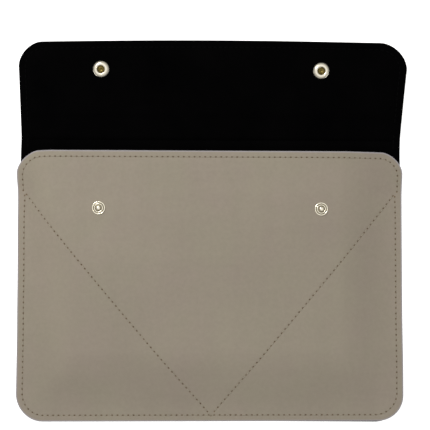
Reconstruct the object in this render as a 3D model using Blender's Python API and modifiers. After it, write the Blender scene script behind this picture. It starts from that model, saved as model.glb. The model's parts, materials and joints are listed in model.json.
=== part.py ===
"""Envelope-style tablet case with a stitched front, a folding flap and two press studs.

Lengths are in millimetres and are scaled by MM when a mesh is stored.  The case
lies on its back.  X runs along the long side, Y runs from the closed bottom edge
towards the flap, and Z points up through the front panel.
"""

import math

import bmesh
import bpy
from mathutils import Matrix, Vector

MM = 0.001
NAME = "tablet_case"

# Pocket, seen from the front
WIDTH = 317.0
HEIGHT = 221.0
CORNER_RADIUS = 22.0
MOUTH_RADIUS = 18.0
BOARD_RADIUS = 5.0
CORNER_STEPS = 6
SIDE_X = WIDTH / 2
BOTTOM_Y = -HEIGHT / 2
MOUTH_Y = HEIGHT / 2

# Layers, counted up from the table
LEATHER = 1.0
SUEDE = 0.8
BOARD = 1.0
PLY_GAP = 0.2
LINING_RISE = 1.2
BACK_BORDER = 11.0
BACK_SLOPE = 5.0

# Raised front panel over the tablet
SEAM_ALLOWANCE = 6.5
RAMP_LENGTH = 20.0
RAMP_STEPS = 8
FRONT_LINING_Z = 2.2
FRONT_LINING_RISE = 10.4
FRONT_COVER_Z = 3.2
FRONT_COVER_RISE = 11.6
FRONT_TOP_Z = FRONT_COVER_Z + FRONT_COVER_RISE + LEATHER
FRONT_BOARD_Z = FRONT_LINING_Z + FRONT_LINING_RISE + SUEDE + PLY_GAP

# Fold strip and flap, measured from their own fold lines
FOLD_Z = 2.0
FOLD_GAP = 0.3
SPINE_Y = 111.2
SPINE_LENGTH = 18.8
SPINE_ANGLE = math.radians(5.0)
FLAP_LENGTH = 71.9
FLAP_ANGLE = math.radians(5.0)
FOLD_HALF_WIDTH = 157.8
FLAP_HALF_WIDTH = 161.3
WAIST_START_Y = 84.0
COVER_Z = -FOLD_Z
LINING_Z = COVER_Z + LEATHER + PLY_GAP
FLAP_FACE_Z = LINING_Z + LINING_RISE + SUEDE

# Press studs
SNAP_X = 90.8
STUD_Y = 63.0
SOCKET_Y = SPINE_Y - STUD_Y
POST_RADIUS = 1.2
POST_HOLE_RADIUS = 1.6
STUD_WINDOW_RADIUS = 7.0
TURNED_STEPS = 20

# Stitches
STITCH_PITCH = 4.4
THREAD_RADIUS = 0.35
THREAD_PINCH = 0.45
THREAD_GAP = 0.25
SEAM_INSET = 5.0
FLAP_SEAM_INSET = 5.6
ENVELOPE_START_Y = 76.5
ENVELOPE_BOW = 1.25
ENVELOPE_STEPS = 24

# Elastic pen loop inside the pocket
LOOP_X = -134.5
LOOP_Z = 7.4
LOOP_RADIUS = 4.0
LOOP_WALL = 0.7
LOOP_TAB_X = -143.5
LOOP_TAB_Z = 3.4
LOOP_TAB_HEIGHT = 0.8
LOOP_Y = (70.0, 94.0)


# ---------------------------------------------------------------- scene helpers

def clear_scene():
    for item in list(bpy.data.objects):
        bpy.data.objects.remove(item, do_unlink=True)


def make_collection():
    collection = bpy.data.collections.new(NAME)
    bpy.context.scene.collection.children.link(collection)
    return collection


def make_material(name, colour, roughness, metallic=0.0):
    material = bpy.data.materials.new(name)
    material.use_nodes = True
    shader = material.node_tree.nodes["Principled BSDF"]
    shader.inputs["Base Color"].default_value = (*colour, 1.0)
    shader.inputs["Roughness"].default_value = roughness
    shader.inputs["Metallic"].default_value = metallic
    material.diffuse_color = (*colour, 1.0)
    return material


def store(name, bm):
    """Scale a working mesh to metres, face it outwards and add it to the scene."""
    bmesh.ops.scale(bm, vec=(MM, MM, MM), verts=bm.verts)
    bmesh.ops.recalc_face_normals(bm, faces=bm.faces)
    mesh = bpy.data.meshes.new(name)
    bm.to_mesh(mesh)
    bm.free()
    item = bpy.data.objects.new(name, mesh)
    bpy.data.collections[NAME].objects.link(item)
    return item


def finish(item, material, parent=None):
    item.data.materials.clear()
    item.data.materials.append(material)
    if parent is not None:
        item.parent = parent
    return item


def evaluated_mesh(item):
    bpy.context.view_layer.update()
    graph = bpy.context.evaluated_depsgraph_get()
    return bpy.data.meshes.new_from_object(item.evaluated_get(graph))


def apply_modifiers(item):
    mesh = evaluated_mesh(item)
    item.modifiers.clear()
    previous = item.data
    item.data = mesh
    bpy.data.meshes.remove(previous)
    mesh.name = item.name


def combine(item, other, operation):
    modifier = item.modifiers.new("Boolean", "BOOLEAN")
    modifier.operation = operation
    modifier.solver = "EXACT"
    modifier.object = other
    apply_modifiers(item)
    bpy.data.objects.remove(other, do_unlink=True)


def make_empty(name, location, angle, parent=None):
    """A fold line: rotating this empty about X turns everything below it."""
    empty = bpy.data.objects.new(name, None)
    empty.empty_display_size = 0.02
    empty.location = Vector(location) * MM
    empty.rotation_euler = (angle, 0.0, 0.0)
    empty.parent = parent
    bpy.data.collections[NAME].objects.link(empty)
    return empty


# ---------------------------------------------------------------- outlines

def fillet(before, corner, after, radius):
    """Arc points that round one convex corner of an outline."""
    corner = Vector(corner)
    back = (Vector(before) - corner).normalized()
    ahead = (Vector(after) - corner).normalized()
    half = back.angle(ahead) / 2
    start = corner + back * (radius / math.tan(half))
    centre = corner + (back + ahead).normalized() * (radius / math.sin(half))
    sweep = math.pi - 2 * half
    spoke = start - centre
    turn = 1.0 if back.x * ahead.y - back.y * ahead.x < 0 else -1.0
    points = []
    for step in range(CORNER_STEPS + 1):
        angle = turn * sweep * step / CORNER_STEPS
        points.append(centre + Matrix.Rotation(angle, 2) @ spoke)
    return points


def rounded_outline(corners):
    """Outline from (x, y, radius) corners given anticlockwise."""
    points = []
    count = len(corners)
    for index, (x, y, radius) in enumerate(corners):
        before = corners[index - 1][:2]
        after = corners[(index + 1) % count][:2]
        if radius > 0:
            points.extend(fillet(before, (x, y), after, radius))
        else:
            points.append(Vector((x, y)))
    return points


def back_outline():
    top = SPINE_Y - FOLD_GAP
    return rounded_outline([
        (-SIDE_X, BOTTOM_Y, CORNER_RADIUS),
        (SIDE_X, BOTTOM_Y, CORNER_RADIUS),
        (SIDE_X, WAIST_START_Y, 0),
        (FOLD_HALF_WIDTH, top, 0),
        (-FOLD_HALF_WIDTH, top, 0),
        (-SIDE_X, WAIST_START_Y, 0),
    ])


def flap_outline(inset=0.0, start=FOLD_GAP):
    radius = CORNER_RADIUS - inset
    fold = FOLD_HALF_WIDTH - inset
    tip = FLAP_HALF_WIDTH - inset
    end = FLAP_LENGTH - inset
    return rounded_outline([
        (-fold, start, 0),
        (fold, start, 0),
        (tip, end, radius),
        (-tip, end, radius),
    ])


def rectangle(x0, x1, y0, y1, radius=0.0, top_radius=None):
    if top_radius is None:
        top_radius = radius
    return rounded_outline([
        (x0, y0, radius),
        (x1, y0, radius),
        (x1, y1, top_radius),
        (x0, y1, top_radius),
    ])


# ---------------------------------------------------------------- solid helpers

def plate(outline, z0, z1):
    """Flat sheet cut to an outline."""
    bm = bmesh.new()
    corners = [bm.verts.new((p[0], p[1], z0)) for p in outline]
    face = bm.faces.new(corners)
    grown = bmesh.ops.extrude_face_region(bm, geom=[face])
    top = [g for g in grown["geom"] if isinstance(g, bmesh.types.BMVert)]
    bmesh.ops.translate(bm, vec=(0, 0, z1 - z0), verts=top)
    bmesh.ops.recalc_face_normals(bm, faces=bm.faces)
    return bm


def raise_middle(bm, border, slope, rise):
    """Lift the middle of a sheet so that a board fits under it."""
    for side in (1.0, -1.0):
        face = next(f for f in bm.faces if f.normal.z * side > 0.9 and len(f.verts) > 4)
        bmesh.ops.inset_region(bm, faces=[face], thickness=border, use_even_offset=True)
        bmesh.ops.inset_region(bm, faces=[face], thickness=slope, use_even_offset=True)
        bmesh.ops.translate(bm, vec=(0, 0, rise), verts=face.verts)


def add_cylinder(bm, x, y, z0, z1, radius, segments=16):
    place = Matrix.Translation((x, y, (z0 + z1) / 2))
    bmesh.ops.create_cone(bm, cap_ends=True, segments=segments, radius1=radius,
                          radius2=radius, depth=z1 - z0, matrix=place)


def pierce(item, y, z0, z1, radius):
    """Cut the pair of press-stud holes through a sheet."""
    bm = bmesh.new()
    for side in (-1, 1):
        add_cylinder(bm, side * SNAP_X, y, z0, z1, radius)
    combine(item, store("hole_cutter", bm), "DIFFERENCE")


def turned(name, profile, steps=TURNED_STEPS):
    """Turn a closed (radius, height) profile about Z."""
    mesh = bpy.data.meshes.new(name)
    points = [(radius * MM, 0.0, height * MM) for radius, height in profile]
    edges = [(i, i + 1) for i in range(len(points) - 1)]
    if profile[0][0] > 0:
        edges.append((len(points) - 1, 0))
    mesh.from_pydata(points, edges, [])
    item = bpy.data.objects.new(name, mesh)
    bpy.data.collections[NAME].objects.link(item)
    screw = item.modifiers.new("Screw", "SCREW")
    screw.axis = "Z"
    screw.angle = 2 * math.pi
    screw.steps = steps
    screw.render_steps = steps
    screw.use_merge_vertices = True
    screw.merge_threshold = 0.00001
    apply_modifiers(item)
    bm = bmesh.new()
    bm.from_mesh(item.data)
    bmesh.ops.remove_doubles(bm, verts=bm.verts, dist=0.000005)
    bmesh.ops.recalc_face_normals(bm, faces=bm.faces)
    bm.to_mesh(item.data)
    bm.free()
    return item


def mirrored_pair(left, right_name, material, parent, x, y, z):
    """Place a turned piece on the left and its copy on the right."""
    finish(left, material, parent)
    left.location = Vector((-x, y, z)) * MM
    right = bpy.data.objects.new(right_name, left.data)
    bpy.data.collections[NAME].objects.link(right)
    right.parent = parent
    right.location = Vector((x, y, z)) * MM


# ---------------------------------------------------------------- front surface

def ramp(t):
    """Smooth rise from 0 to 1, straight between the creases of the panel."""
    t = min(max(t, 0.0), 1.0)
    cell = min(int(t * RAMP_STEPS), RAMP_STEPS - 1)
    low = cell / RAMP_STEPS
    high = (cell + 1) / RAMP_STEPS
    share = (t - low) / (high - low)
    start = low * low * (3 - 2 * low)
    end = high * high * (3 - 2 * high)
    return start + (end - start) * share


def rise_at(x, y):
    """How far the front has risen towards its flat middle, from 0 to 1."""
    across = (SIDE_X - abs(x) - SEAM_ALLOWANCE) / RAMP_LENGTH
    along = (y - BOTTOM_Y - SEAM_ALLOWANCE) / RAMP_LENGTH
    away = math.hypot(max(0.0, 1 - across), max(0.0, 1 - along))
    return ramp(1 - away)


def crease_distances():
    step = RAMP_LENGTH / RAMP_STEPS
    return [SEAM_ALLOWANCE + step * index for index in range(RAMP_STEPS + 1)]


def front_sheet(name, z0, thickness, rise, with_holes):
    """Rounded sheet, creased and lifted so that a tablet fits below it."""
    bm = bmesh.new()
    bmesh.ops.create_cube(bm, size=1.0)
    bmesh.ops.scale(bm, vec=(WIDTH, HEIGHT, thickness), verts=bm.verts)
    bmesh.ops.translate(bm, vec=(0, 0, z0 + thickness / 2), verts=bm.verts)
    for level, radius in ((BOTTOM_Y, CORNER_RADIUS), (MOUTH_Y, MOUTH_RADIUS)):
        upright = [e for e in bm.edges
                   if all(abs(v.co.y - level) < 0.01 for v in e.verts)
                   and abs(e.verts[0].co.z - e.verts[1].co.z) > 0.1]
        bmesh.ops.bevel(bm, geom=upright, offset=radius, offset_type="OFFSET",
                        segments=CORNER_STEPS, profile=0.5, affect="EDGES")
    cuts = []
    for distance in crease_distances():
        cuts.append(((SIDE_X - distance, 0, 0), (1, 0, 0)))
        cuts.append(((distance - SIDE_X, 0, 0), (1, 0, 0)))
        cuts.append(((0, BOTTOM_Y + distance, 0), (0, 1, 0)))
    for point, normal in cuts:
        parts = bm.verts[:] + bm.edges[:] + bm.faces[:]
        bmesh.ops.bisect_plane(bm, geom=parts, plane_co=point, plane_no=normal)
    item = store(name, bm)
    if with_holes:
        pierce(item, STUD_Y, z0 - 1, z0 + thickness + 1, POST_HOLE_RADIUS)
    bm = bmesh.new()
    bm.from_mesh(item.data)
    wide = [f for f in bm.faces if abs(f.normal.z) > 0.5]
    bmesh.ops.triangulate(bm, faces=wide)
    for vertex in bm.verts:
        height = rise * rise_at(vertex.co.x / MM, vertex.co.y / MM)
        vertex.co.z += height * MM
    bm.to_mesh(item.data)
    bm.free()
    return item


def front_surface(x, y):
    return FRONT_COVER_Z + LEATHER + FRONT_COVER_RISE * rise_at(x, y)


# ---------------------------------------------------------------- stitches

def spaced(points, pitch):
    """Points at an even pitch along a polyline."""
    points = [Vector((p[0], p[1])) for p in points]
    lengths = [(b - a).length for a, b in zip(points, points[1:])]
    total = sum(lengths)
    count = round(total / pitch)
    holes = []
    index = 0
    passed = 0.0
    for step in range(count + 1):
        target = total * step / count
        while index < len(lengths) - 1 and passed + lengths[index] < target:
            passed += lengths[index]
            index += 1
        share = (target - passed) / lengths[index]
        holes.append(points[index].lerp(points[index + 1], share))
    return holes


def surface_normal(surface, x, y):
    step = 0.2
    slope_x = (surface(x + step, y) - surface(x - step, y)) / (2 * step)
    slope_y = (surface(x, y + step) - surface(x, y - step)) / (2 * step)
    return Vector((-slope_x, -slope_y, 1.0)).normalized()


def make_thread(name, path, surface, material, parent=None, beaded=True):
    """Sewing thread just above a surface, pinched wherever the needle went in."""
    stations = []
    for first, last in zip(path, path[1:]):
        stations.append((first, THREAD_PINCH))
        if beaded:
            stations.append(((first + last) / 2, 1.0))
    stations.append((path[-1], THREAD_PINCH))
    curve = bpy.data.curves.new(name, "CURVE")
    curve.dimensions = "3D"
    curve.bevel_depth = THREAD_RADIUS * MM
    curve.bevel_resolution = 0
    curve.use_fill_caps = True
    spline = curve.splines.new("POLY")
    spline.points.add(len(stations) - 1)
    for point, (spot, swell) in zip(spline.points, stations):
        base = Vector((spot.x, spot.y, surface(spot.x, spot.y)))
        normal = surface_normal(surface, spot.x, spot.y)
        centre = (base + normal * (THREAD_GAP + THREAD_RADIUS)) * MM
        point.co = (*centre, 1.0)
        point.radius = swell
    guide = bpy.data.objects.new(name, curve)
    bpy.data.collections[NAME].objects.link(guide)
    mesh = evaluated_mesh(guide)
    bpy.data.objects.remove(guide, do_unlink=True)
    bm = bmesh.new()
    bm.from_mesh(mesh)
    bmesh.ops.remove_doubles(bm, verts=bm.verts, dist=0.000005)
    bmesh.ops.recalc_face_normals(bm, faces=bm.faces)
    bm.to_mesh(mesh)
    bm.free()
    mesh.name = name
    item = bpy.data.objects.new(name, mesh)
    bpy.data.collections[NAME].objects.link(item)
    return finish(item, material, parent)


def front_stitch_paths():
    """The row round the sides and bottom, and the row along the mouth."""
    inset = SEAM_INSET
    ring = rectangle(-SIDE_X + inset, SIDE_X - inset, BOTTOM_Y + inset,
                     MOUTH_Y - inset, CORNER_RADIUS - inset, MOUTH_RADIUS - inset)
    corner = CORNER_STEPS + 1
    return ring[-1:] + ring[:2 * corner + 1], ring[2 * corner:]


def envelope_path():
    """The stitched V, each arm bowed very slightly outwards."""
    foot = Vector((0.0, BOTTOM_Y + SEAM_INSET + STITCH_PITCH / 2))
    start = Vector((SEAM_INSET - SIDE_X + STITCH_PITCH / 2, ENVELOPE_START_Y))
    along = (foot - start).normalized()
    below = Vector((along.y, -along.x))
    arm = []
    for step in range(ENVELOPE_STEPS + 1):
        share = step / ENVELOPE_STEPS
        bow = ENVELOPE_BOW * 4 * share * (1 - share)
        arm.append(start.lerp(foot, share) + below * bow)
    mirrored = [Vector((-p.x, p.y)) for p in reversed(arm[:-1])]
    return arm + mirrored


# ---------------------------------------------------------------- pieces

def build_back(leather, suede, board):
    finish(store("back_cover", plate(back_outline(), 0.0, LEATHER)), leather)
    z0 = LEATHER + PLY_GAP
    edge = BACK_BORDER + BACK_SLOPE + 0.5
    outline = rectangle(-SIDE_X + edge, SIDE_X - edge, BOTTOM_Y + edge,
                        SPINE_Y - FOLD_GAP - edge, BOARD_RADIUS)
    finish(store("back_stiffener", plate(outline, z0, z0 + BOARD)), board)
    lining = plate(back_outline(), z0, z0 + SUEDE)
    raise_middle(lining, BACK_BORDER, BACK_SLOPE, LINING_RISE)
    finish(store("back_lining", lining), suede)


def build_front(leather, suede, board):
    cover = front_sheet("front_cover", FRONT_COVER_Z, LEATHER, FRONT_COVER_RISE, True)
    finish(cover, leather)
    lining = front_sheet("front_lining", FRONT_LINING_Z, SUEDE, FRONT_LINING_RISE, False)
    finish(lining, suede)
    edge = SEAM_ALLOWANCE + RAMP_LENGTH + 0.5
    outline = rectangle(-SIDE_X + edge, SIDE_X - edge, BOTTOM_Y + edge, MOUTH_Y - 7.0,
                        BOARD_RADIUS)
    top = FRONT_BOARD_Z + BOARD
    stiffener = store("front_stiffener", plate(outline, FRONT_BOARD_Z, top))
    pierce(stiffener, STUD_Y, FRONT_BOARD_Z - 1, top + 1, STUD_WINDOW_RADIUS)
    finish(stiffener, board)


def build_spine(spine, leather, suede):
    end = SPINE_LENGTH - FOLD_GAP
    outline = rectangle(-FOLD_HALF_WIDTH, FOLD_HALF_WIDTH, FOLD_GAP, end)
    cover = store("spine_cover", plate(outline, COVER_Z, COVER_Z + LEATHER))
    finish(cover, leather, spine)
    lining = store("spine_lining", plate(outline, LINING_Z, LINING_Z + SUEDE))
    finish(lining, suede, spine)


def build_flap(flap, leather, suede, board):
    cover = store("flap_cover", plate(flap_outline(), COVER_Z, COVER_Z + LEATHER))
    pierce(cover, SOCKET_Y, COVER_Z - 1, LINING_Z, POST_HOLE_RADIUS)
    finish(cover, leather, flap)
    outline = flap_outline(inset=11.0, start=11.5)
    stiffener = store("flap_stiffener", plate(outline, LINING_Z, LINING_Z + BOARD))
    pierce(stiffener, SOCKET_Y, LINING_Z - 1, LINING_Z + 2, POST_HOLE_RADIUS)
    finish(stiffener, board, flap)
    sheet = plate(flap_outline(), LINING_Z, LINING_Z + SUEDE)
    raise_middle(sheet, 7.0, 3.0, LINING_RISE)
    lining = store("flap_lining", sheet)
    pierce(lining, SOCKET_Y, LINING_Z, FLAP_FACE_Z + 1, POST_HOLE_RADIUS)
    finish(lining, suede, flap)


def build_front_threads(thread):
    seam, mouth = front_stitch_paths()
    make_thread("seam_thread", spaced(seam, STITCH_PITCH), front_surface, thread)
    holes = spaced(mouth, STITCH_PITCH)
    make_thread("mouth_thread", holes[1:-1], front_surface, thread)
    holes = spaced(envelope_path(), STITCH_PITCH)
    make_thread("envelope_thread", holes, front_surface, thread)


def build_flap_threads(spine, flap, thread):
    def level(x, y):
        return LINING_Z + SUEDE

    outline = flap_outline(inset=FLAP_SEAM_INSET, start=2.0)
    make_thread("flap_thread", outline[1:] + outline[:1], level, thread, flap, False)
    x = FOLD_HALF_WIDTH - FLAP_SEAM_INSET
    for side, label in ((-1, "left"), (1, "right")):
        ends = [Vector((side * x, 1.2)), Vector((side * x, SPINE_LENGTH - 1.2))]
        name = label + "_spine_thread"
        make_thread(name, spaced(ends, STITCH_PITCH), level, thread, spine)


def build_pen_loop(elastic, thread):
    bm = bmesh.new()
    length = LOOP_Y[1] - LOOP_Y[0]
    turn = Matrix.Translation((LOOP_X, sum(LOOP_Y) / 2, LOOP_Z))
    turn = turn @ Matrix.Rotation(math.pi / 2, 4, "X")
    bmesh.ops.create_cone(bm, cap_ends=True, segments=20, radius1=LOOP_RADIUS,
                          radius2=LOOP_RADIUS, depth=length, matrix=turn)
    loop = store("pen_loop", bm)
    tab = plate(rectangle(LOOP_TAB_X, LOOP_X, *LOOP_Y), LOOP_TAB_Z + 0.02,
                LOOP_TAB_Z + LOOP_TAB_HEIGHT)
    combine(loop, store("loop_tab", tab), "UNION")
    bore = bmesh.new()
    inner = LOOP_RADIUS - LOOP_WALL
    bmesh.ops.create_cone(bore, cap_ends=True, segments=20, radius1=inner,
                          radius2=inner, depth=length + 4, matrix=turn)
    combine(loop, store("loop_bore", bore), "DIFFERENCE")
    finish(loop, elastic)

    def tab_top(x, y):
        return LOOP_TAB_Z + LOOP_TAB_HEIGHT

    x = LOOP_TAB_X + 2.0
    ends = [(x, LOOP_Y[0] + 1.0), (x, LOOP_Y[1] - 1.0)]
    make_thread("pen_loop_thread", spaced(ends, STITCH_PITCH), tab_top, thread)


def build_front_snaps(metal, brass):
    stud = turned("left_front_snap_stud", [
        (0.0, 2.5), (1.4, 2.5), (1.95, 2.1), (1.75, 0.8), (3.4, 0.8), (3.75, 0.45),
        (4.3, 0.45), (4.6, 0.8), (5.2, 0.8), (5.4, 0.5), (5.3, 0.2),
        (POST_RADIUS, 0.2), (POST_RADIUS, -2.1), (0.0, -2.1),
    ])
    mirrored_pair(stud, "right_front_snap_stud", metal, None, SNAP_X, STUD_Y, FRONT_TOP_Z)
    eyelet = turned("left_front_snap_eyelet", [
        (1.5, -1.2), (4.8, -1.2), (5.1, -1.5), (5.0, -2.1), (1.5, -2.1),
    ])
    mirrored_pair(eyelet, "right_front_snap_eyelet", brass, None, SNAP_X, STUD_Y,
                  FRONT_TOP_Z)


def build_flap_snaps(flap, metal, brass):
    cap = turned("left_flap_snap_cap", [
        (0.0, 2.25), (1.7, 2.25), (1.7, 2.1), (POST_RADIUS, 2.1),
        (POST_RADIUS, COVER_Z - 0.2), (7.4, COVER_Z - 0.2), (7.4, COVER_Z - 0.5),
        (6.2, COVER_Z - 1.3), (3.5, COVER_Z - 1.85), (0.0, COVER_Z - 2.0),
    ])
    mirrored_pair(cap, "right_flap_snap_cap", metal, flap, SNAP_X, SOCKET_Y, 0.0)
    socket = turned("left_flap_snap_socket", [
        (1.5, 0.2), (6.4, 0.2), (6.65, 0.7), (6.5, 1.6), (5.6, 2.5), (4.4, 2.7),
        (3.5, 2.45), (3.0, 2.1), (3.0, 0.7), (1.5, 0.7),
    ])
    mirrored_pair(socket, "right_flap_snap_socket", metal, flap, SNAP_X, SOCKET_Y,
                  FLAP_FACE_Z)
    spring = turned("left_socket_spring", [
        (2.45, 1.7), (2.8, 1.7), (2.8, 1.3), (2.45, 1.3),
    ])
    mirrored_pair(spring, "right_socket_spring", brass, flap, SNAP_X, SOCKET_Y,
                  FLAP_FACE_Z)


def main():
    clear_scene()
    make_collection()
    leather = make_material("taupe_leatherette", (0.305, 0.262, 0.205), 0.6)
    suede = make_material("black_suede", (0.006, 0.006, 0.006), 0.95)
    board = make_material("black_board", (0.03, 0.028, 0.026), 0.8)
    taupe_thread = make_material("taupe_thread", (0.28, 0.24, 0.19), 0.7)
    black_thread = make_material("black_thread", (0.02, 0.02, 0.02), 0.75)
    elastic = make_material("black_elastic", (0.012, 0.012, 0.012), 0.85)
    metal = make_material("champagne_nickel", (0.72, 0.66, 0.55), 0.22, 1.0)
    brass = make_material("dull_brass", (0.42, 0.31, 0.15), 0.35, 1.0)

    spine = make_empty("spine_hinge", (0, SPINE_Y, FOLD_Z), SPINE_ANGLE)
    flap = make_empty("flap_hinge", (0, SPINE_LENGTH, 0), FLAP_ANGLE, spine)

    build_back(leather, suede, board)
    build_front(leather, suede, board)
    build_spine(spine, leather, suede)
    build_flap(flap, leather, suede, board)
    build_front_threads(taupe_thread)
    build_flap_threads(spine, flap, black_thread)
    build_pen_loop(elastic, black_thread)
    build_front_snaps(metal, brass)
    build_flap_snaps(flap, metal, brass)
    bpy.context.view_layer.update()


main()
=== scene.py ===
"""Looks of the envelope-style tablet case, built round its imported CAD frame.

Working lengths are millimetres in the frame's own axes: X along the long side, Y from
the closed bottom edge to the flap, Z up through the front panel.
"""

import json
import math

import bpy
import numpy as np
from mathutils import Euler, Matrix, Vector
from mathutils.geometry import delaunay_2d_cdt


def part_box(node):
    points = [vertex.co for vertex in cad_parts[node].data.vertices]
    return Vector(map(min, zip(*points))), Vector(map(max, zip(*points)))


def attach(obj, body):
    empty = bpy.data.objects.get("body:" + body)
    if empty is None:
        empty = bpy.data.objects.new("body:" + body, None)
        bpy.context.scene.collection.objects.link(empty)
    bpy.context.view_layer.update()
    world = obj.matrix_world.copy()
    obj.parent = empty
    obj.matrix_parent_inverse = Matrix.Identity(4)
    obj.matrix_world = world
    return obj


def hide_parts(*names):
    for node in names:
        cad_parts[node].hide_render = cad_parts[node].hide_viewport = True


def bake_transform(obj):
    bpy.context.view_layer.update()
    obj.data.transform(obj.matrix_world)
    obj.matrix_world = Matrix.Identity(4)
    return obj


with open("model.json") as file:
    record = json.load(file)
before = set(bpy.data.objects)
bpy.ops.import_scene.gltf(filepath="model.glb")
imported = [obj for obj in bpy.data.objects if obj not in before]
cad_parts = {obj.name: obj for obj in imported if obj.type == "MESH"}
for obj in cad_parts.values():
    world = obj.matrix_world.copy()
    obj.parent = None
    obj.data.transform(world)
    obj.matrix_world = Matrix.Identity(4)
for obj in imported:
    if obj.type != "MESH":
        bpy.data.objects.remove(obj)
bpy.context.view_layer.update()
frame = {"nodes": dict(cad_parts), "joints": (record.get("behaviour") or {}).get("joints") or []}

MM = 0.001
CHUNK = 4000

# Sizes read from the frame
front_low, front_high = (np.array(end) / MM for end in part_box("front_cover"))
HALF_W = front_high[0]
BOTTOM = front_low[1]
MOUTH = front_high[1]
FRONT_Z = front_high[2]
fold_1, fold_2 = (np.array(joint["pos_m"]) / MM for joint in frame["joints"])
FOLD_Y = fold_1[1]
FOLD_Z = fold_1[2]
SPINE = float(np.linalg.norm(fold_2 - fold_1))

# Outlines
FLAP_END = SPINE + 71.9
SPLIT = SPINE / 2
CORNER = 22.0
MOUTH_CORNER = 17.5
FOLD_HALF_W = 157.8
FLAP_HALF_W = 161.2
WAIST_Y = 78.0
RIM_STEP = 1.6

# Layers
COVER_Z = 0.06
LEATHER_THICK = 1.0
BOARD_THICK = 1.0
FRONT_SUEDE_THICK = 0.8
SUEDE_THICK = 0.85
SUEDE_Z = 2.0
BOARD_BULGE = 1.2
BOARD_GAP = 0.18
BOARD_ROOM = 1.35
FRONT_SUEDE_GAP = 0.05

# Front panel: how far it takes to rise from the seam to its full height
SEAM_Z = 4.2
RAMP_START = 4.5
RAMP_SIDE = 50.0
RAMP_BY_LOOP = 26.0
RAMP_BOTTOM = 54.0
GAPE_START = 74.0
GAPE_LENGTH = 32.0
GAPE = 4.2

FLAP_SLOPE = math.radians(10.0)

# Stitching
PITCH = 4.4
PIT_RADIUS = 0.74
PIT_DEPTH = 0.42
PIT_SEED = 70
RIM_BAND = 1.1
ENVELOPE_Y = 78.2
THREAD_RADIUS = 0.28
THREAD_BOW = 0.08

# Press studs
SNAP_X = 90.8
STUD_Y = 63.0
EYELET_WINDOW = 7.0
SOCKET_U = {"left": SPINE + 48.7, "right": SPINE + 48.2}

# Camera and light, in metres and radians
CAMERA_LENS = 75.55
CAMERA_PLACE = (0.0041337, 0.0164205, 0.75)
CAMERA_TILT = 0.0562
CAMERA_ROLL = 0.0051
KEY_PLACE = (-0.42, 0.58, 0.90)
KEY_AIM = (0, 0.03, 0)
KEY_SIZE = 0.26
KEY_ENERGY = 5.6
HORIZON_LIGHT = 0.30
ZENITH_LIGHT = 1.00
FLOOR_HALF = 3.0
FLOOR_Z = -0.0004


# ------------------------------------------------------------------ numbers

def smooth(t):
    """Ease from 0 to 1 as t goes from 0 to 1."""
    t = np.clip(t, 0.0, 1.0)
    return t * t * (3 - 2 * t)


def full_turn(count):
    """Angles that divide a full turn evenly."""
    return np.linspace(0, 2 * math.pi, count, endpoint=False)


def unit(vectors):
    """Vectors shortened or stretched to a length of 1."""
    return vectors / np.linalg.norm(vectors, axis=-1, keepdims=True)


def chunks(points):
    """Slices of a long list, so that comparing it with another takes little memory."""
    return [slice(begin, begin + CHUNK) for begin in range(0, len(points), CHUNK)]


def waves(x, y, seed, size, count=7):
    """Gentle irregular undulation between about -1 and 1."""
    rng = np.random.default_rng(seed)
    total = np.zeros(np.broadcast(x, y).shape)
    for _ in range(count):
        angle, phase = rng.uniform(0, 2 * math.pi, 2)
        length = size * rng.uniform(0.7, 1.8)
        along = x * math.cos(angle) + y * math.sin(angle)
        total = total + np.sin(2 * math.pi * along / length + phase)
    return total / math.sqrt(count) / 1.6


def corner(x, y, reach, quarter, power=1.9, count=15):
    """Rounded corner about (x, y), a little flatter than an arc where power is below 2."""
    angles = np.radians(np.linspace(0, 90, count) + 90 * quarter)
    shape = 2 / power
    across, along = np.cos(angles), np.sin(angles)
    return np.column_stack([
        x + reach * np.sign(across) * np.abs(across) ** shape,
        y + reach * np.sign(along) * np.abs(along) ** shape,
    ])


def evenly(points, pitch, closed=False):
    """Resample a polyline at an even pitch."""
    points = np.asarray(points, float)
    if closed:
        points = np.vstack([points, points[:1]])
    lengths = np.linalg.norm(np.diff(points, axis=0), axis=1)
    reach = np.concatenate([[0.0], np.cumsum(lengths)])
    count = max(1, round(reach[-1] / pitch))
    marks = np.linspace(0, reach[-1], count + 1)
    if closed:
        marks = marks[:-1]
    return np.column_stack([np.interp(marks, reach, points[:, k]) for k in (0, 1)])


def closed_rim(line, pitch):
    """Evenly spaced rim that keeps both ends of a line and joins them straight."""
    return np.vstack([evenly(line, pitch), evenly([line[-1], line[0]], pitch)[1:-1]])


def distance_to(points, line):
    """Shortest distance from each point to a polyline."""
    starts, ends = line[:-1], line[1:]
    span = ends - starts
    size = (span ** 2).sum(1)
    best = np.full(len(points), 1e9)
    for part in chunks(points):
        ahead = points[part, None] - starts
        share = np.clip((ahead * span).sum(2) / size, 0, 1)
        gap = points[part, None] - (starts + share[..., None] * span)
        best[part] = np.sqrt((gap ** 2).sum(2)).min(1)
    return best


def inside(points, polygon):
    """Which points lie inside a closed polygon."""
    x, y = points[:, 0:1], points[:, 1:2]
    ax, ay = polygon[:, 0], polygon[:, 1]
    bx, by = np.roll(ax, -1), np.roll(ay, -1)
    crossing = (ay > y) != (by > y)
    slope = np.where(by == ay, 1e-9, by - ay)
    at = ax + (y - ay) * (bx - ax) / slope
    return (crossing & (x < at)).sum(1) % 2 == 1


# ------------------------------------------------------------------ flat outlines

def front_outline():
    """Front panel, anticlockwise from its bottom left corner."""
    left, right, tight = CORNER, CORNER - 1.5, MOUTH_CORNER
    return np.vstack([
        corner(left - HALF_W, BOTTOM + left, left, 2),
        corner(HALF_W - right, BOTTOM + right, right, 3, 2.0),
        corner(HALF_W - tight, MOUTH - tight, tight, 0, 1.75),
        corner(tight - HALF_W, MOUTH - tight, tight, 1, 1.75),
    ])


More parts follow.
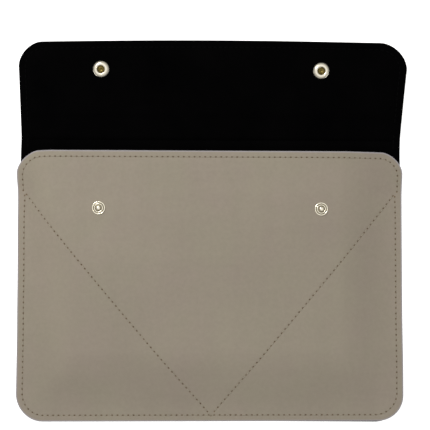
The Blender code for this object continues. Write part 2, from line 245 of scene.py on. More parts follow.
def back_outline():
    """Pocket back and half of the fold strip, with a slight waist at the fold."""
    side = evenly([(HALF_W, BOTTOM + CORNER), (HALF_W, WAIST_Y)], 2.0)
    waist_y = np.linspace(WAIST_Y + 2.0, FOLD_Y + SPLIT, 20)
    waist_x = HALF_W - (HALF_W - FOLD_HALF_W) * smooth((waist_y - WAIST_Y) / 30.0)
    half = np.vstack([
        corner(HALF_W - CORNER, BOTTOM + CORNER, CORNER, 3),
        side[1:],
        np.column_stack([waist_x, waist_y]),
    ])
    return np.vstack([half[::-1] * (-1, 1), half])


def flap_half_width(u):
    """Half width of the flap at a distance u past the first fold."""
    return FOLD_HALF_W + (FLAP_HALF_W - FOLD_HALF_W) * np.maximum(0, u - 12.0) / 78.0


def flap_outline(margin=0.0, start=SPLIT):
    """Other half of the fold strip and the flap, in (x, u)."""
    end = FLAP_END - margin
    halves = []
    for radius in (CORNER - margin, CORNER - 2.5 - margin):
        u = np.linspace(start, end - radius, 30)
        side = np.column_stack([flap_half_width(u) - margin, u])
        tip = corner(side[-1, 0] - radius, end - radius, radius, 0, 1.8)
        halves.append(np.vstack([side, tip[1:]]))
    right, left = halves
    return np.vstack([right, left[::-1] * (-1, 1)])


# ------------------------------------------------------------------ rows of stitches

def mouth_row():
    """Hem row, from the right end of the V round the mouth to its left end."""
    left, right, top, radius = HALF_W - 4.5, HALF_W - 3.9, MOUTH - 5.2, 14.0
    return np.vstack([
        [(right, ENVELOPE_Y)],
        corner(right - radius, top - radius, radius, 0, 1.85),
        corner(radius - left, top - radius, radius, 1, 1.85),
        [(-left, ENVELOPE_Y)],
    ])


def seam_row():
    """Side and bottom seam, from just below the left end of the V to the right."""
    side_inset, bottom_inset, radius = 5.2, 5.0, 17.0
    y = np.linspace(ENVELOPE_Y - 4.2, BOTTOM + bottom_inset + radius, 30)
    x = HALF_W - side_inset - 0.4 * smooth(1 - (ENVELOPE_Y - y) / 26.0)
    left = np.column_stack([-x, y])
    centre = (HALF_W - side_inset - radius, BOTTOM + bottom_inset + radius)
    return np.vstack([
        left[:-1],
        corner(-centre[0], centre[1], radius, 2),
        corner(centre[0], centre[1], radius, 3),
        left[-2::-1] * (-1, 1),
    ])


def envelope_arm(side, bow):
    """One arm of the stitched V, bowed outwards by a little near its upper end."""
    start = np.array([side * (HALF_W - 4.4), ENVELOPE_Y])
    end = np.array([1.6, BOTTOM + 4.6])
    share = np.linspace(0, 1, 40)[:, None]
    along = unit(end - start)
    below = np.array([abs(along[1]) * side, -abs(along[0])])
    return start + (end - start) * share + below * bow * np.sin(math.pi * share ** 0.7)


def holes_in(*rows):
    """Needle holes along each row."""
    return [evenly(row, PITCH) for row in rows]


def flap_holes():
    """Needle holes of the row round the flap, and of its two ends on the fold strip."""
    row = evenly(flap_outline(5.6, start=-2.0), PITCH)
    on_flap = row[row[:, 1] > SPINE + 5.0]
    on_strip = row[(row[:, 1] > 0.3) & (row[:, 1] < SPINE - 0.3)]
    return on_flap, on_strip[on_strip[:, 0] < 0], on_strip[on_strip[:, 0] > 0]


# ------------------------------------------------------------------ surfaces

def front_rise(x, y):
    """Share of the full height, rising sooner on the left where the pen loop is."""
    loop_side = RAMP_SIDE + (RAMP_BY_LOOP - RAMP_SIDE) * smooth((y - 5.0) / 65.0)
    length = np.where(x < 0, loop_side, RAMP_SIDE)
    across = (HALF_W - np.abs(x) - RAMP_START) / length
    along = (y - BOTTOM - RAMP_START) / RAMP_BOTTOM
    away = (np.maximum(0, 1 - across) ** 4 + np.maximum(0, 1 - along) ** 4) ** 0.25
    return smooth(1 - away)


def front_top(x, y):
    """Height of the leather's face on the front panel."""
    gape = GAPE * smooth((y - GAPE_START) / GAPE_LENGTH)
    base = SEAM_Z + gape
    rise = front_rise(x, y)
    wave = 0.22 * waves(x, y, 3, 150) * rise + 0.05 * waves(x, y, 5, 46) * rise
    return base + (FRONT_Z - base) * rise + wave


def front_place(x, y, z):
    """Small unevenness of a hand-cut panel, as positions in space.

    The sides flare next to the mouth and the bottom edge is cut slightly askew.
    """
    low = (MOUTH - y) / (MOUTH - BOTTOM)
    flare = np.exp(-((y - 91.0) / 13.0) ** 2)
    left = -0.9 * flare - 0.7 * smooth((y + 5.0) / 65.0) + 0.3 * smooth((-5.0 - y) / 40.0)
    right = 0.3 * flare + 0.15 + 0.5 * smooth((-20.0 - y) / 50.0)
    outer = (np.abs(x) / HALF_W) ** 6
    new_x = x + outer * np.where(x < 0, left, right)
    new_y = y + 0.0073 * x * low
    return np.stack([new_x, new_y, z], axis=-1)


def bend(x, y, z):
    """Position in space of a point on the flat back, fold strip and flap.

    The slope grows along the fold strip, the sides of the flap fan out and its outer
    corners curl up.
    """
    u = y - FOLD_Y
    table_u = np.linspace(-20, 120, 701)
    slope = FLAP_SLOPE * smooth((table_u + 5.0) / (SPINE + 10.0))
    step = table_u[1] - table_u[0]
    run = np.cumsum(np.cos(slope)) * step
    rise = np.cumsum(np.sin(slope)) * step
    start = np.searchsorted(table_u, -5.0)
    run = run - run[start] - 5.0
    rise = rise - rise[start]
    ahead = np.maximum(u, -5.0)
    angle = np.interp(ahead, table_u, slope)
    new_y = FOLD_Y + np.interp(ahead, table_u, run) + np.minimum(u + 5.0, 0)
    new_z = FOLD_Z + np.interp(ahead, table_u, rise)
    past = np.maximum(u, 0.0)
    outer = np.abs(x) / FLAP_HALF_W
    new_x = x + outer ** 3 * (past * 0.0265 - 0.05)
    curl = smooth((u - 40.0) / 60.0) * np.clip((outer - 0.62) / 0.38, 0, 1) ** 2
    new_z = new_z + curl * np.where(x > 0, 1.8, 0.6)
    new_z = new_z + 0.3 * waves(x, u, 11, 120) * smooth((u - 8.0) / 30.0)
    tall = z - FOLD_Z
    return np.stack([new_x, new_y - tall * np.sin(angle), new_z + tall * np.cos(angle)], -1)


def flap_place(x, u, z):
    """As bend, for the flap, whose tip is cut to a slightly bowed line."""
    bowed = (1.0 - 1.6 * (x / 142.0) ** 2) * smooth((u - 50.0) / 40.0)
    return bend(x, u + bowed + FOLD_Y, z)


# ------------------------------------------------------------------ meshes

def add_mesh(name, points, faces, materials, face_slots=None, sharp=None, **shades):
    """Store a mesh given in millimetres as a smooth-shaded object.

    Each further named list becomes an attribute that the materials read.
    """
    mesh = bpy.data.meshes.new(name)
    mesh.from_pydata((np.asarray(points) * MM).tolist(), [], faces)
    for material in materials:
        mesh.materials.append(material)
    if face_slots is not None:
        mesh.polygons.foreach_set("material_index", np.asarray(face_slots, np.int32))
    for shade, values in shades.items():
        layer = mesh.attributes.new(shade, "FLOAT", "POINT")
        layer.data.foreach_set("value", np.asarray(values, np.float32))
    mesh.shade_smooth()
    if sharp is not None:
        mesh.set_sharp_from_angle(angle=math.radians(sharp))
    mesh.validate()
    mesh.update()
    item = bpy.data.objects.new(name, mesh)
    bpy.context.scene.collection.objects.link(item)
    return item


def ring_edges(first, count):
    """Edges that join a run of points into a ring."""
    return [(first + k, first + (k + 1) % count) for k in range(count)]


def triangulated(rim, band, spacing, spots, windows):
    """Triangles filling a rim, finer along the rim and round each needle hole.

    Windows are (x, y, radius) holes cut right through.
    """
    low, high = rim.min(0), rim.max(0)
    columns = np.arange(low[0], high[0], spacing)
    rows = np.arange(low[1], high[1], spacing * 0.866)
    gx, gy = np.meshgrid(columns, rows)
    gx = gx + (np.arange(len(rows)) % 2 * spacing / 2)[:, None]
    grid = np.column_stack([gx.ravel(), gy.ravel()])
    grid = grid[inside(grid, rim)]
    closed = np.vstack([rim, rim[:1]])
    grid = grid[distance_to(grid, closed) > RIM_BAND + spacing * 0.5]
    groups = [rim, grid, band]
    if len(spots):
        clear = PIT_RADIUS * 1.9 + 0.4
        apart = np.ones(len(grid), bool)
        for part in chunks(grid):
            gap = grid[part, None] - spots
            apart[part] = ((gap ** 2).sum(2) > clear ** 2).all(1)
        groups[1] = grid[apart]
        groups.append(spots)
        for share, count in ((0.45, 7), (0.85, 10), (1.25, 10), (1.9, 10)):
            turn = full_turn(count)
            circle = np.column_stack([np.cos(turn), np.sin(turn)]) * PIT_RADIUS * share
            groups.append((spots[:, None] + circle).reshape(-1, 2))
    edges = ring_edges(0, len(rim))
    turn = full_turn(24)
    for x, y, radius in windows:
        edges += ring_edges(sum(len(group) for group in groups), len(turn))
        groups.append(np.column_stack([x + radius * np.cos(turn), y + radius * np.sin(turn)]))
    points = np.vstack(groups)
    result = delaunay_2d_cdt([Vector(p) for p in points], edges, [], 1, 1e-4)
    flat = np.array([tuple(v) for v in result[0]])
    faces = np.array([list(f) for f in result[2]])
    centres = flat[faces].mean(1)
    for x, y, radius in windows:
        outside = np.hypot(centres[:, 0] - x, centres[:, 1] - y) > radius
        faces, centres = faces[outside], centres[outside]
    a, b, c = (flat[faces[:, k]] for k in range(3))
    ab, ac = b - a, c - a
    backwards = ab[:, 0] * ac[:, 1] - ab[:, 1] * ac[:, 0] < 0
    faces[backwards] = faces[backwards][:, ::-1]
    return flat, faces


def border_loops(faces):
    """Vertices of each border, in the order that the triangles beside it turn."""
    pairs = np.vstack([faces[:, [0, 1]], faces[:, [1, 2]], faces[:, [2, 0]]])
    known = set(map(tuple, pairs.tolist()))
    follows = {a: b for a, b in known if (b, a) not in known}
    loops = []
    while follows:
        first = min(follows)
        loop = [first]
        while follows[loop[-1]] != first:
            loop.append(follows[loop[-1]])
        for vertex in loop:
            del follows[vertex]
        loops.append(np.array(loop))
    return loops


def pit_depth(flat, rows):
    """Depth of the needle holes, 1 at most: each is a slight oval along its row."""
    depth = np.zeros(len(flat))
    for number, row in enumerate(rows):
        share = np.random.default_rng(PIT_SEED + number).uniform(0.62, 1.0, len(row))
        ahead = unit(np.gradient(row, axis=0))
        for part in chunks(flat):
            apart = flat[part, None] - row
            along = (apart * ahead).sum(2)
            across = apart[..., 0] * ahead[:, 1] - apart[..., 1] * ahead[:, 0]
            gap = np.hypot(along / 1.2, across / 0.9)
            closest = gap.argmin(1)
            near = 1 - smooth((gap.min(1) - 0.12) / (PIT_RADIUS * 1.15))
            near *= share[closest]
            depth[part] = np.maximum(depth[part], near)
    return depth


def outward_of(points):
    """Unit vectors pointing out of a closed line that turns anticlockwise."""
    ahead = np.roll(points, -1, 0) - np.roll(points, 1, 0)
    return unit(np.column_stack([ahead[:, 1], -ahead[:, 0]]))


def edge_push(border, rim, outward, soft, edge):
    """Way out from a border to the widest part of its rounded edge, and how much pale edge tint
    and painted highlight it takes.
    """
    nearest = ((border[:, None] - rim) ** 2).sum(2).argmin(1)
    on_rim = np.linalg.norm(border - rim[nearest], axis=1) < 0.01
    edge_tint_and_highlight = np.where(on_rim, soft[nearest], 1.0)
    push = outward_of(border)
    push[on_rim] = outward[nearest[on_rim]]
    return push * (edge_tint_and_highlight * edge)[:, None], edge_tint_and_highlight


def make_sheet(name, outline, top, thick, place, materials, spacing=1.8, edge=0.32,
               rows=(), faces_up=True, gully=0.08, square=None, windows=()):
    """Sheet of leather, suede or board with rounded edges, gullies and needle holes.

    The materials are those of the upper face, the lower face and the edge. faces_up
    tells which face carries the stitches, and square picks the points of the outline
    where the sheet is cut off square.
    """
    outward = outward_of(outline)
    soft = np.ones(len(outline))
    if square is not None:
        cut = square(outline)
        ends = cut & ~(np.roll(cut, 1) & np.roll(cut, -1))
        soft[cut & ~ends] = 0.0
        outward[ends] = np.sign(outline[ends]) * (1, 0)
    rim = outline - outward * edge * soft[:, None]
    band = (rim - outward * RIM_BAND)[soft > 0]
    spots = np.vstack(rows) if len(rows) else np.zeros((0, 2))
    flat, faces = triangulated(rim, band, spacing, spots, windows)
    x, y = flat[:, 0], flat[:, 1]
    pit = pit_depth(flat, rows)
    sink = pit * PIT_DEPTH
    for row in rows:
        sink = sink + gully * np.exp(-(distance_to(flat, row) / 1.5) ** 2)
    z_top = top(x, y)
    z_bottom = z_top - thick
    if faces_up:
        z_top = z_top - sink
    else:
        z_bottom = z_bottom + sink
    total = len(flat)
    polygons = faces.tolist() + (faces[:, ::-1] + total).tolist()
    slots = [0] * len(faces) + [1] * len(faces)
    groups = [np.column_stack([flat, z_top]), np.column_stack([flat, z_bottom])]
    edge_tint_and_highlight = np.zeros(total)
    size = 2 * total
    for loop in border_loops(faces):
        count = len(loop)
        push, edge_tint_and_highlight[loop] = edge_push(flat[loop], rim, outward, soft, edge)
        height = np.minimum(edge, 0.45 * (z_top - z_bottom)[loop])
        bands = [loop]
        for turn, side in ((45, 1), (90, 1), (90, -1), (45, -1)):
            out = flat[loop] + push * math.sin(math.radians(turn))
            drop = height * (1 - math.cos(math.radians(turn)))
            level = z_top[loop] - drop if side > 0 else z_bottom[loop] + drop
            groups.append(np.column_stack([out, level]))
            bands.append(size + np.arange(count))
            size += count
        bands.append(loop + total)
        for upper, lower in zip(bands, bands[1:]):
            quads = np.column_stack([upper, lower, np.roll(lower, -1), np.roll(upper, -1)])
            polygons += quads.tolist()
            slots += [2] * count
    spread = np.vstack(groups)
    points = place(spread[:, 0], spread[:, 1], spread[:, 2])
    pits, rims = np.zeros(size), np.ones(size)
    stitched = slice(0, total) if faces_up else slice(total, 2 * total)
    # The pit attribute also sets the painted shade in the needle holes.
    pits[stitched] = pit
    # The rim attribute marks where the leather takes its pale edge tint and painted highlight.
    rims[:2 * total] = np.tile(edge_tint_and_highlight, 2)
    return add_mesh(name, points, polygons, materials, slots, pit=pits, rim=rims)


def tube_faces(first, steps, sides, flip=False):
    """Faces of a tube made of rings of points, closed at both ends."""
    k = np.arange(sides)
    after = (k + 1) % sides
    faces = []
    for step in range(steps - 1):
        a = first + step * sides
        quads = np.column_stack([a + k, a + after, a + sides + after, a + sides + k])
        faces += (quads[:, [0, 3, 2, 1]] if flip else quads).tolist()
    ends = [first + k[::-1], first + (steps - 1) * sides + k]
    return faces + [(end[::-1] if flip else end).tolist() for end in ends]


def make_thread(name, rows, surface, material, seed=1):
    """Twisted thread, one stitch from each needle hole to the next.

    The lists give, along a stitch, the places of its rings, their height over the
    surface and how much painted shade they take inside the hole.
    """
    share = np.array([0.035, 0.10, 0.17, 0.29, 0.5, 0.71, 0.83, 0.90, 0.965])
    arch = np.array([-5.5, -3.2, -0.9, 0.6, 1.0, 0.6, -0.9, -3.2, -5.5])
    hole_shade = np.array([1.0, 0.95, 0.45, 0.0, 0.0, 0.0, 0.45, 0.95, 1.0])
    steps, sides = len(share), 8
    rng = np.random.default_rng(seed)
    starts = np.vstack([row[:-1] for row in rows])
    ends = np.vstack([row[1:] for row in rows])
    count = len(starts)
    line = starts[:, None] + (ends - starts)[:, None] * share[:, None]
    sway = rng.normal(0, 0.05, (count, 1)) * np.sin(math.pi * share)
    across = unit(np.stack([-(ends - starts)[:, 1], (ends - starts)[:, 0]], 1))
    line = line + across[:, None] * sway[..., None]
    tall = arch * THREAD_BOW * rng.normal(1.0, 0.07, (count, 1))
    centre = surface(line[..., 0], line[..., 1], tall)
    above = surface(line[..., 0], line[..., 1], tall + 0.2)
    forward = unit(np.gradient(centre, axis=1))
    side = unit(np.cross(forward, above - centre))
    normal = np.cross(side, forward)
    turn = full_turn(sides)
    twist = share[:, None] * 2 * math.pi * 1.6
    size = THREAD_RADIUS * (1 + 0.13 * np.cos(2 * turn[None, :] - twist))
    rings = (centre[:, :, None]
             + side[:, :, None] * (np.cos(turn) * size)[None, :, :, None] * 1.08
             + normal[:, :, None] * (np.sin(turn) * size)[None, :, :, None] * 0.86)
    polygons = []
    for stitch in range(count):
        polygons += tube_faces(stitch * steps * sides, steps, sides)
    return add_mesh(name, rings.reshape(-1, 3), polygons, [material],
                    pit=np.tile(np.repeat(hole_shade, sides), count))


def placed(points, place):
    """Points of a part in its own axes, carried to its place."""
    return np.asarray(points) @ np.array(place.to_3x3()).T + np.array(place.translation)


def lathe(name, profile, place, materials, zones):
    """Turn a (radius, height) profile about its axis.

    zones gives the material of each band. A profile that starts on the axis ends
    there too, and any other joins up with its own start.
    """
    profile = np.asarray(profile, float)
    segments = 72
    turn = full_turn(segments)
    closed = profile[0, 0] > 1e-6
    points = []
    starts = []
    for radius, height in profile:
        starts.append(len(points))
        if radius < 1e-6:
            points.append((0.0, 0.0, height))
        else:
            points += [(radius * math.cos(t), radius * math.sin(t), height) for t in turn]
    count = len(profile)
    faces, slots = [], []
    k = np.arange(segments)
    after = (k + 1) % segments
    for band in range(count if closed else count - 1):
        a, b = starts[band], starts[(band + 1) % count]
        pole_a = profile[band, 0] < 1e-6
        pole_b = profile[(band + 1) % count, 0] < 1e-6
        if pole_a:
            quads = np.column_stack([np.full(segments, a), b + k, b + after])
        elif pole_b:
            quads = np.column_stack([a + k, np.full(segments, b), a + after])
        else:
            quads = np.column_stack([a + k, b + k, b + after, a + after])
        faces += quads.tolist()
        slots += [zones[band]] * segments
    return add_mesh(name, placed(points, place), faces, materials, slots, sharp=42)


# ------------------------------------------------------------------ materials

class Nodes:
    """Adds and links the shader nodes of a material or a world."""

    def __init__(self, owner, coords="Object"):
        owner.use_nodes = True
        self.tree = owner.node_tree
        self.coords = self.add("TexCoord").outputs[coords]

    def add(self, kind, inputs=None, **settings):
        node = self.tree.nodes.new("ShaderNode" + kind)
        for key, value in settings.items():
            setattr(node, key, value)
        for key, value in (inputs or {}).items():
            self.give(node.inputs[key], value)
        return node

    def give(self, socket, value):
        if isinstance(value, bpy.types.NodeSocket):
            self.tree.links.new(value, socket)
        else:
            socket.default_value = value

    def stretch(self, x, y, z):
        inputs = {"Vector": self.coords, "Scale": (x, y, z)}
        return self.add("Mapping", inputs).outputs["Vector"]

    def noise(self, scale, detail=3.0, rough=0.5, vector=None):
        inputs = {"Vector": vector or self.coords, "Scale": scale, "Detail": detail,
                  "Roughness": rough}
        return self.add("TexNoise", inputs).outputs["Fac"]

    def cells(self, scale):
        inputs = {"Vector": self.coords, "Scale": scale}
        return self.add("TexVoronoi", inputs).outputs["Distance"]

    def stored(self, name):
        """Values that the mesh carries under a name."""
        return self.add("Attribute", attribute_name=name).outputs["Fac"]

    def span(self, value, low, high, to_low=0.0, to_high=1.0):
        inputs = {0: value, 1: low, 2: high, 3: to_low, 4: to_high}
        return self.add("MapRange", inputs).outputs[0]

    def math(self, operation, a, b):
        return self.add("Math", {0: a, 1: b}, operation=operation).outputs[0]

    def mix(self, share, a, b, mode="MIX"):
        inputs = {0: share, 6: a, 7: b}
        node = self.add("Mix", inputs, data_type="RGBA", blend_type=mode)
        return node.outputs[2]

    def bump(self, height, distance, strength, normal=None):
        inputs = {"Height": height, "Distance": distance, "Strength": strength}
        if normal is not None:
            inputs["Normal"] = normal
        return self.add("Bump", inputs).outputs["Normal"]


class Surface(Nodes):
    """Nodes of one material."""

    def __init__(self, name):
        self.material = bpy.data.materials.new(name)
        super().__init__(self.material)

    def finish(self, colour, normal=None, **sockets):
        shader = self.tree.nodes["Principled BSDF"]
        self.give(shader.inputs["Base Color"], colour)
        if normal is not None:
            self.give(shader.inputs["Normal"], normal)
        for key, value in sockets.items():
            self.give(shader.inputs[key.replace("_", " ")], value)
        return self.material


def rgba(r, g, b):
    return (r, g, b, 1.0)


def leather_material():
    n = Surface("taupe_leather")
    patches = n.span(n.noise(30.0, 3.0, 0.55), 0.34, 0.66)
    colour = n.mix(patches, rgba(0.288, 0.244, 0.193), rgba(0.284, 0.249, 0.189))
    clouds = n.span(n.noise(9.0, 2.0, 0.5), 0.3, 0.7, 0.965, 1.03)
    fine = n.span(n.noise(330.0, 3.0, 0.6), 0.3, 0.7, 0.965, 1.035)
    upright = n.noise(60.0, 2.0, 0.6, n.stretch(1.0, 0.12, 1.0))
    level = n.noise(60.0, 2.0, 0.6, n.stretch(0.12, 1.0, 1.0))
    brushed = n.span(n.math("ADD", upright, level), 0.7, 1.3, 0.98, 1.02)
    shade = n.math("MULTIPLY", n.math("MULTIPLY", clouds, fine), brushed)
    tone = n.add("CombineColor", {0: shade, 1: shade, 2: shade}).outputs[0]
    colour = n.mix(1.0, colour, tone, "MULTIPLY")
    # Pale lavender band along the rounded edges: partly the grey backing's own colour, partly a
    # painted highlight where the edge catches the light.
    edge_tint_and_highlight = n.math("MULTIPLY", n.stored("rim"), 0.9)
    colour = n.mix(edge_tint_and_highlight, colour, rgba(0.355, 0.325, 0.355))
    # Darker brown in the needle holes: painted shade in the holes.
    pit = n.span(n.stored("pit"), 0.02, 0.55)
    colour = n.mix(pit, colour, rgba(0.172, 0.118, 0.064))
    grain = n.span(n.cells(1300.0), 0.0, 0.6)
    pores = n.noise(2400.0, 2.0, 0.5)
    normal = n.bump(grain, 0.00003, 0.5)
    normal = n.bump(pores, 0.00002, 0.5, normal)
    rough = n.span(n.noise(140.0, 2.0, 0.5), 0.3, 0.7, 0.58, 0.70)
    return n.finish(colour, normal, Roughness=rough, Specular_IOR_Level=0.32)


def suede_material():
    n = Surface("black_suede")
    nap = n.noise(1500.0, 4.0, 0.7)
    lay = n.span(n.noise(26.0, 3.0, 0.6), 0.3, 0.7)
    colour = n.mix(lay, rgba(0.0004, 0.0004, 0.0005), rgba(0.0010, 0.0009, 0.0010))
    # Darker still in the needle holes: painted shade.
    colour = n.mix(n.stored("pit"), colour, rgba(0.0004, 0.0004, 0.0004))
    normal = n.bump(nap, 0.00012, 0.6)
    return n.finish(colour, normal, Roughness=0.95, Specular_IOR_Level=0.02,
                    Sheen_Weight=0.006, Sheen_Roughness=0.45,
                    Sheen_Tint=rgba(0.5, 0.5, 0.55))


def edge_material(name, light, dark):
    """Cut edge of the sheet, showing its fibrous backing."""
    n = Surface(name)
    fibres = n.noise(900.0, 4.0, 0.7, n.stretch(0.35, 0.35, 2.2))
    colour = n.mix(n.span(fibres, 0.35, 0.65), light, dark)
    normal = n.bump(fibres, 0.00006, 0.6)
    return n.finish(colour, normal, Roughness=0.75, Specular_IOR_Level=0.3)


def thread_material(name, light, dark, shine=0.3, sheen=0.1):
    """Spun thread, with painted shade where it goes down its needle holes."""
    n = Surface(name)
    strands = n.noise(1800.0, 3.0, 0.6)
    wear = n.noise(120.0, 2.0, 0.5)
    mixed = n.math("MULTIPLY", n.span(strands, 0.3, 0.7), wear)
    colour = n.mix(n.span(mixed, 0.1, 0.6), light, dark)
    # Painted shade on the thread where it goes down into the holes.
    hole_shade = rgba(dark[0] * 0.42, dark[1] * 0.33, dark[2] * 0.25)
    colour = n.mix(n.stored("pit"), colour, hole_shade)
    normal = n.bump(strands, 0.00005, 0.5)
    return n.finish(colour, normal, Roughness=0.7, Specular_IOR_Level=shine,
                    Sheen_Weight=sheen)


def metal_material(name, light, dark, rough):
    """Turned metal with tarnish and fine scratches."""
    n = Surface(name)
    tarnish = n.span(n.noise(420.0, 4.0, 0.65), 0.4, 0.75)
    colour = n.mix(tarnish, light, dark)
    scratches = n.noise(2600.0, 3.0, 0.6, n.stretch(1.0, 0.08, 1.0))
    normal = n.bump(scratches, 0.000006, 0.5)
    roughness = n.span(n.noise(700.0, 3.0, 0.6), 0.3, 0.7, rough, rough + 0.12)
    return n.finish(colour, normal, Roughness=roughness, Metallic=1.0)


def board_material():
    n = Surface("stiffener_board")
    pulp = n.noise(500.0, 5.0, 0.7)
    flecks = n.span(n.cells(380.0), 0.02, 0.12)
    shade = n.mix(pulp, rgba(0.02, 0.019, 0.018), rgba(0.045, 0.042, 0.038))
    colour = n.mix(flecks, rgba(0.09, 0.085, 0.075), shade)
    return n.finish(colour, n.bump(pulp, 0.00008, 0.5), Roughness=0.85)


def elastic_material():
    n = Surface("woven_elastic")
    ribs = n.add("TexWave", {"Vector": n.coords, "Scale": 300.0, "Distortion": 0.6},
                 wave_type="BANDS", bands_direction="Y").outputs["Fac"]
    picks = n.noise(2200.0, 2.0, 0.5, n.stretch(1.0, 0.3, 1.0))
    weave = n.math("ADD", n.math("MULTIPLY", ribs, 0.8), n.math("MULTIPLY", picks, 0.4))
    colour = n.mix(weave, rgba(0.004, 0.004, 0.004), rgba(0.02, 0.02, 0.021))
    return n.finish(colour, n.bump(weave, 0.00015, 0.7), Roughness=0.85, Sheen_Weight=0.15)


def floor_material():
    n = Surface("pale_floor")
    patches = n.span(n.noise(3.0, 2.0, 0.5), 0.3, 0.7, 0.985, 1.0)
    colour = n.mix(patches, rgba(0.88, 0.88, 0.88), rgba(0.92, 0.92, 0.92))
    return n.finish(colour, Roughness=0.9, Specular_IOR_Level=0.1, Emission_Strength=0.75,
                    Emission_Color=rgba(1.0, 1.0, 1.0))


LEATHER = leather_material()
SUEDE = suede_material()
# The front's pale lavender edge colour is partly the grey backing and partly a painted highlight
# along its rounded edge.
FRONT_EDGE = edge_material("pale_cut_edge", rgba(0.34, 0.33, 0.35), rgba(0.25, 0.24, 0.24))
BACK_EDGE = edge_material("dark_cut_edge", rgba(0.09, 0.08, 0.07), rgba(0.045, 0.04, 0.036))
# Thread lighter than the leather: partly the thread's own yellower tone, partly painted light
# that offsets the shade in its gully.
TAUPE_THREAD = thread_material("taupe_thread", rgba(0.34, 0.30, 0.225),
                               rgba(0.28, 0.245, 0.185))
BLACK_THREAD = thread_material("black_thread", rgba(0.0022, 0.0022, 0.0024),
                               rgba(0.0008, 0.0008, 0.0008), shine=0.03, sheen=0.0)
NICKEL = metal_material("champagne_nickel", rgba(0.95, 0.89, 0.74),
                        rgba(0.88, 0.81, 0.64), 0.16)
# Darker, duller metal for the stud's grooves: partly its own worn finish, partly painted shade
# and a painted reflection of the leather around it.
SATIN_AND_SHADE = metal_material("worn_nickel_and_groove_shade", rgba(0.30, 0.27, 0.20),
                       rgba(0.20, 0.175, 0.13), 0.5)
BRASS = metal_material("dull_brass", rgba(0.20, 0.15, 0.045),
                       rgba(0.07, 0.05, 0.012), 0.30)
BOARD = board_material()
ELASTIC = elastic_material()


# ------------------------------------------------------------------ pieces

def ride_as(item, body, slot, *nodes):
    """Put a piece on one body, in place of the CAD nodes if any are named."""
    if nodes:
        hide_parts(*nodes)
    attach(item, body)


def blend_across(item):
    """Bake a sheet's placement into its points."""
    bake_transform(item)


def build_front():
    """Front panel with its lining, its board and its three rows of stitches."""
    mouth, seam, left_arm, right_arm = holes_in(mouth_row(), seam_row(),
                                                envelope_arm(-1, 1.35), envelope_arm(1, 0.8))
    arms = [left_arm[1:], right_arm[1:-1]]
    outline = evenly(front_outline(), RIM_STEP, closed=True)
    panel = make_sheet("front_panel", outline, front_top, LEATHER_THICK, front_place,
                       [LEATHER, SUEDE, FRONT_EDGE], rows=[mouth, seam, *arms])
    ride_as(panel, "pocket", "leatherette", "front_cover")

    def board_share(x, y):
        """1 where the board lies between the leather and the lining."""
        inside_x = smooth((HALF_W - np.abs(x) - 21.0) / 6.0)
        inside_y = smooth((MOUTH - y - 1.5) / 5.5) * smooth((y - BOTTOM - 21.0) / 6.0)
        return inside_x * inside_y

    def lining_top(x, y):
        below = LEATHER_THICK + FRONT_SUEDE_GAP + BOARD_ROOM * board_share(x, y)
        return front_top(x, y) - below

    lining = make_sheet("front_suede", outline * 0.9995, lining_top, FRONT_SUEDE_THICK,
                        front_place, [SUEDE] * 3, spacing=3.2, rows=[mouth],
                        faces_up=False, gully=0.1)
    ride_as(lining, "pocket", "suede", "front_lining")

    build_front_board()

    def face(x, y, h):
        return front_place(x, y, front_top(x, y) + h)

    for label, rows, seed in (("seam", [seam], 4), ("mouth", [mouth], 5),
                              ("envelope", arms, 6)):
        item = make_thread(label + "_stitches", rows, face, TAUPE_THREAD, seed=seed)
        ride_as(item, "pocket", "taupe_thread", label + "_thread")


def build_front_board():
    """Stiffening board that follows the panel, with windows for the stud eyelets."""
    low, high = (np.array(end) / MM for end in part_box("front_stiffener"))
    radius = 5.0
    outline = evenly(np.vstack([
        corner(low[0] + radius, low[1] + radius, radius, 2, 2.0),
        corner(high[0] - radius, low[1] + radius, radius, 3, 2.0),
        corner(high[0] - radius, high[1] - radius, radius, 0, 2.0),
        corner(low[0] + radius, high[1] - radius, radius, 1, 2.0),
    ]), 2.5, closed=True)

    def upper(x, y):
        return front_top(x, y) - LEATHER_THICK - BOARD_GAP

    windows = [(side * SNAP_X, STUD_Y, EYELET_WINDOW) for side in (-1, 1)]
    board = make_sheet("front_board", outline, upper, BOARD_THICK, front_place,
                       [BOARD] * 3, spacing=4.0, edge=0.15, windows=windows)
    ride_as(board, "pocket", "board", "front_stiffener")


def cover_inner(x, y):
    """Inner face of the leather on the back, the fold strip and the flap, before bending."""
    return np.full(np.shape(x), COVER_Z + LEATHER_THICK)


def suede_level(side, margin):
    """Height of the suede's inner face, raised by the board further in than a margin."""
    return SUEDE_Z + BOARD_BULGE * smooth((side - margin) / 7.0)


def back_lining_top(x, y):
    """Inner face of the suede on the back."""
    side = np.minimum(HALF_W - np.abs(x), y - BOTTOM)
    return suede_level(np.minimum(side, FOLD_Y - 4.0 - y), 10.0)


def flap_lining_top(x, u):
    """Inner face of the suede on the flap."""
    side = np.minimum(flap_half_width(u) - np.abs(x), FLAP_END - u)
    return suede_level(np.minimum(side, u - SPINE - 1.0), 6.0)


def build_back():
    """Back of the pocket with the first half of the fold strip."""
    outline = closed_rim(back_outline(), RIM_STEP)
    seam = holes_in(seam_row())
    strip = [ends[ends[:, 1] < SPLIT] + (0, FOLD_Y) for ends in flap_holes()[1:]]

    def at_split(points):
        return points[:, 1] > FOLD_Y + SPLIT - 0.01

    cover = make_sheet("back_leather", outline, cover_inner, LEATHER_THICK, bend,
                       [SUEDE, LEATHER, BACK_EDGE], rows=seam + strip, faces_up=False,
                       square=at_split)
    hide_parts("back_cover")

    lining = make_sheet("back_suede", outline * (1.0004, 1.0), back_lining_top,
                        SUEDE_THICK, bend, [SUEDE] * 3, spacing=3.0, square=at_split)
    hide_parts("back_lining")
    for item in (cover, lining):
        blend_across(item)

    def outside(x, y, h):
        return bend(x, y, COVER_Z - h)

    stitches = make_thread("back_stitches", seam, outside, TAUPE_THREAD, seed=8)
    ride_as(stitches, "pocket", "taupe_thread")


